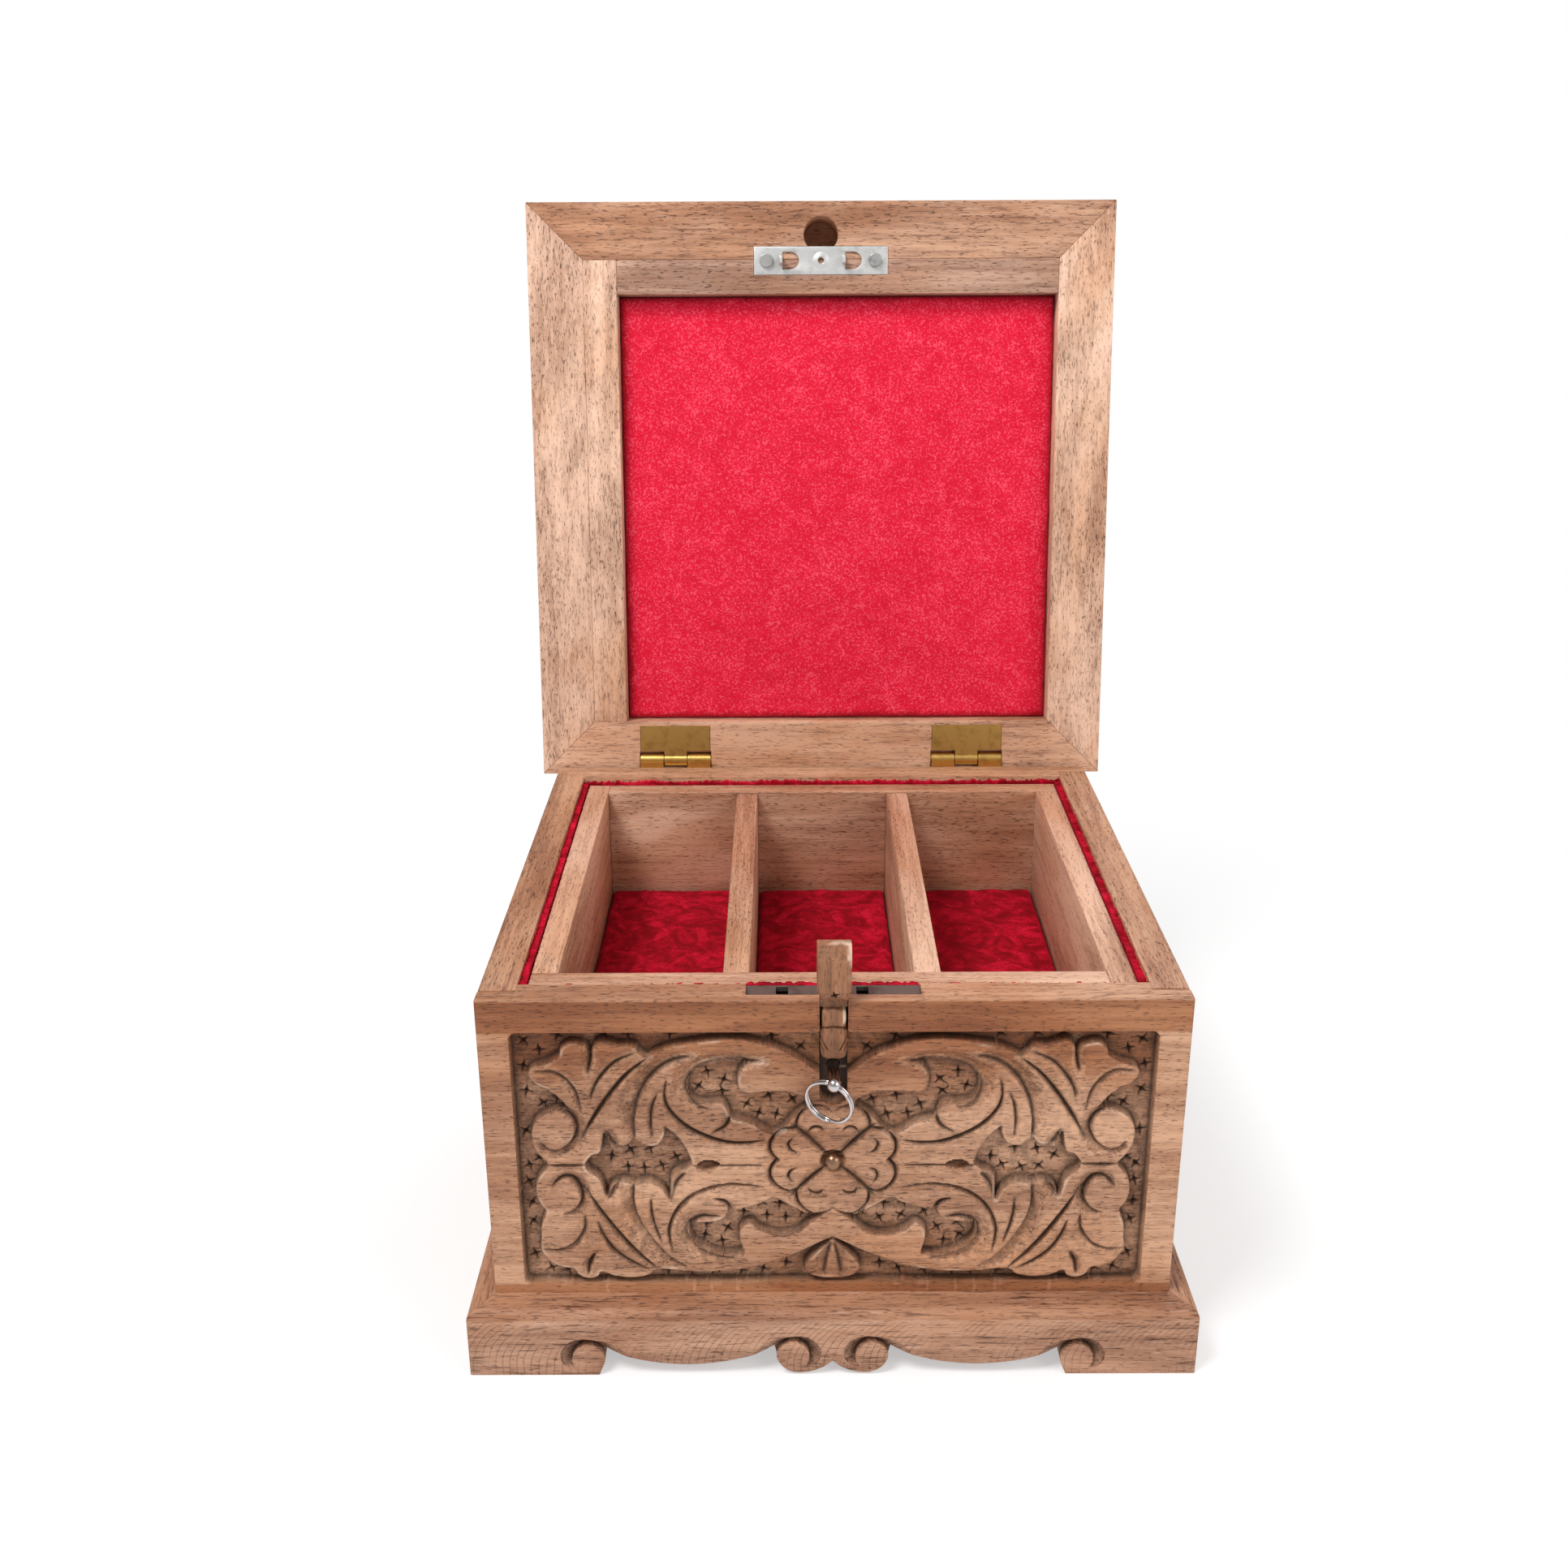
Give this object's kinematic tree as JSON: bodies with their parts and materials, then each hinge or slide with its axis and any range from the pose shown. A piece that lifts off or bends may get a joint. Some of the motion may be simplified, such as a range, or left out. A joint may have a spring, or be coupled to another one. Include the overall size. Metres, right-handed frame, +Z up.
{
  "type": "ring box with lift-out tray",
  "caption": "Carved wooden jewellery chest with a moulded plinth, a hinged velvet-lined lid, a lift-out ring tray, a sliding keyhole cover and a small box lock with key.",
  "frame": {"origin": "middle of the rectangle the chest covers with its lid open, on the surface it stands on", "axes": "+Z up, +X to the right seen from the front, +Y to the back, where the hinges are"},
  "size_m": [0.194, 0.2266, 0.2921],
  "materials": {
    "walnut": "oiled carved walnut, brown with darker grain",
    "tray_wood": "raw sanded wood, pale brown",
    "plywood": "raw plywood",
    "velvet": "deep red crushed velvet",
    "lid_velvet": "bright crimson crushed velvet",
    "nickel": "nickel plate, slightly dull",
    "lock_steel": "dark blued steel",
    "key_nickel": "bright nickel plate",
    "hinge_brass": "brushed brass",
    "nail": "browned steel"
  },
  "bodies": {
    "case": {"front_wall": "walnut", "back_wall": "walnut", "left_wall": "walnut", "right_wall": "walnut", "bottom_board": "walnut", "plinth_front": "walnut", "plinth_right": "walnut", "plinth_back": "walnut", "plinth_left": "walnut", "lining_floor": "velvet", "lining_front": "velvet", "lining_back": "velvet", "lining_left": "velvet", "lining_right": "velvet", "tray_runner_left": "tray_wood", "tray_runner_right": "tray_wood", "hinge_left_body_leaf": "hinge_brass", "hinge_left_body_screws": "hinge_brass", "hinge_left_pin": "hinge_brass", "hinge_right_body_leaf": "hinge_brass", "hinge_right_body_screws": "hinge_brass", "hinge_right_pin": "hinge_brass", "lock_top_plate": "lock_steel", "lock_case": "lock_steel", "rosette_nail": "nail"},
    "lid": {"lid_rail_front": "walnut", "lid_rail_back": "walnut", "lid_rail_left": "walnut", "lid_rail_right": "walnut", "lid_strip_front": "walnut", "lid_strip_left": "walnut", "lid_panel": "walnut", "lid_velvet": "lid_velvet", "strike_plate": "nickel", "strike_nail_left": "nickel", "strike_nail_right": "nickel", "hinge_left_lid_leaf": "hinge_brass", "hinge_left_lid_screws": "hinge_brass", "hinge_right_lid_leaf": "hinge_brass", "hinge_right_lid_screws": "hinge_brass"},
    "tray": {"tray_front": "tray_wood", "tray_right": "tray_wood", "tray_back": "tray_wood", "tray_left": "tray_wood", "tray_partition_left": "tray_wood", "tray_partition_right": "tray_wood", "tray_bottom": "plywood", "tray_pad_left": "velvet", "tray_pad_middle": "velvet", "tray_pad_right": "velvet"},
    "cover": {"keyhole_cover": "walnut"},
    "lock_cam": {"lock_cam": "lock_steel"},
    "bolt": {"lock_bolt": "lock_steel"},
    "key": {"key": "key_nickel"},
    "key_ring": {"key_ring": "key_nickel"}
  },
  "joints": [
    {"name": "lid_hinge", "type": "hinge", "parent": "case", "child": "lid", "pos_m": [0, 0.06635, 0.1107], "axis": [-1, 0, 0], "range_deg": [-99.2, 0]},
    {"name": "tray_lift", "type": "slide", "parent": "case", "child": "tray", "axis": [0, 0, 1], "range_m": [0, 0.12]},
    {"name": "cover_slide", "type": "slide", "parent": "case", "child": "cover", "axis": [0, 0, 1], "range_m": [-0.0022, 0]},
    {"name": "cam_turn", "type": "hinge", "parent": "case", "child": "lock_cam", "pos_m": [0, -0.10665, 0.0878], "axis": [0, -1, 0], "range_deg": [-90, 0]},
    {"name": "bolt_slide", "type": "slide", "parent": "case", "child": "bolt", "axis": [1, 0, 0], "range_m": [0, 0.0035]},
    {"name": "key_pull", "type": "slide", "parent": "lock_cam", "child": "key", "axis": [0, -1, 0], "range_m": [0, 0.03]},
    {"name": "ring_swing", "type": "hinge", "parent": "key", "child": "key_ring", "pos_m": [0, -0.11185, 0.0878], "axis": [-0.8913, 0.3601, 0.2756], "range_deg": [0, 80]}
  ],
  "couplings": [
    {"joint": "cam_turn", "follows": "bolt_slide", "rad_per_m": -448.8}
  ]
}
